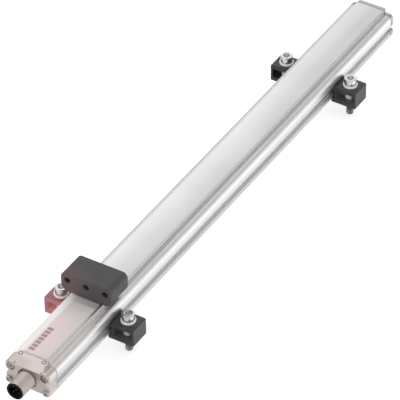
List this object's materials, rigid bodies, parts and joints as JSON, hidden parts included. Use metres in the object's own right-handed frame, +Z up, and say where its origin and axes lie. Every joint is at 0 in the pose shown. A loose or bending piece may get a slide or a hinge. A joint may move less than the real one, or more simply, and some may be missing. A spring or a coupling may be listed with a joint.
{
  "type": "magnetostrictive linear position sensor",
  "caption": "Slim linear position sensor: flat extruded housing with side grooves, sliding screw clamps, a floating magnet over the deck and a round threaded plug connector.",
  "frame": {"origin": "centre of the four fixing screws, on the plane that the clamps stand on", "axes": "+X from the connector end to the far end, +Z up out of the deck, +Y to the left seen along +X"},
  "size_m": [0.4499, 0.0666, 0.0504],
  "materials": {
    "housing_aluminium": "satin anodised",
    "cap_metal": "cast, fine matt",
    "gasket_rubber": "matt",
    "screw_steel": "bright zinc",
    "light_plastic": "clear, glossy",
    "shell_nickel": "satin nickel",
    "black_plastic": "matt",
    "contact_brass": "bright",
    "lead_plastic": "matt",
    "plate_print": "printed, satin",
    "board_green": "satin",
    "component_black": "matt",
    "white_plastic": "matt",
    "winding_copper": "bright",
    "carrier_plastic": "matt",
    "damper_rubber": "matt",
    "magnet_plastic": "moulded, fine matt",
    "magnet_metal": "ground",
    "potting_resin": "cast",
    "clamp_black": "matt black",
    "clamp_red": "matt wine red",
    "bush_plastic": "ivory, satin"
  },
  "bodies": {
    "sensor_body": {"profile_housing": "housing_aluminium", "connector_end_cap": "cap_metal", "connector_end_gasket": "gasket_rubber", "connector_end_screws": "screw_steel", "far_end_cap": "cap_metal", "far_end_gasket": "gasket_rubber", "far_end_screws": "screw_steel", "status_lights": "light_plastic", "connector_shell": "shell_nickel", "connector_seal": "gasket_rubber", "connector_insert": "black_plastic", "connector_pins": "contact_brass", "connector_leads": "lead_plastic", "nameplate": "plate_print", "circuit_board": "board_green", "board_components": "component_black", "pickup_bobbin": "white_plastic", "pickup_winding": "winding_copper", "wire_anchor": "contact_brass", "waveguide_wire": "screw_steel", "waveguide_sleeve": "white_plastic", "waveguide_carrier": "carrier_plastic", "damping_sleeve": "damper_rubber", "return_wire": "winding_copper", "return_clip": "contact_brass"},
    "position_magnet": {"magnet_housing": "magnet_plastic", "magnet_bars": "magnet_metal", "magnet_potting": "potting_resin"},
    "near_left_clamp": {"clamp_near_left": "clamp_red", "bush_near_left": "bush_plastic", "screw_near_left": "screw_steel"},
    "near_right_clamp": {"clamp_near_right": "clamp_black", "bush_near_right": "bush_plastic", "screw_near_right": "screw_steel"},
    "far_left_clamp": {"clamp_far_left": "clamp_black", "bush_far_left": "bush_plastic", "screw_far_left": "screw_steel"},
    "far_right_clamp": {"clamp_far_right": "clamp_black", "bush_far_right": "bush_plastic", "screw_far_right": "screw_steel"}
  },
  "joints": [
    {"name": "magnet_travel", "type": "slide", "parent": "sensor_body", "child": "position_magnet", "axis": [1, 0, 0], "range_m": [0, 0.3]},
    {"name": "near_left_clamp_slide", "type": "slide", "parent": "sensor_body", "child": "near_left_clamp", "axis": [1, 0, 0], "range_m": [-0.05, 0.13]},
    {"name": "near_right_clamp_slide", "type": "slide", "parent": "sensor_body", "child": "near_right_clamp", "axis": [1, 0, 0], "range_m": [-0.05, 0.13]},
    {"name": "far_left_clamp_slide", "type": "slide", "parent": "sensor_body", "child": "far_left_clamp", "axis": [1, 0, 0], "range_m": [-0.13, 0.055]},
    {"name": "far_right_clamp_slide", "type": "slide", "parent": "sensor_body", "child": "far_right_clamp", "axis": [1, 0, 0], "range_m": [-0.13, 0.055]}
  ]
}
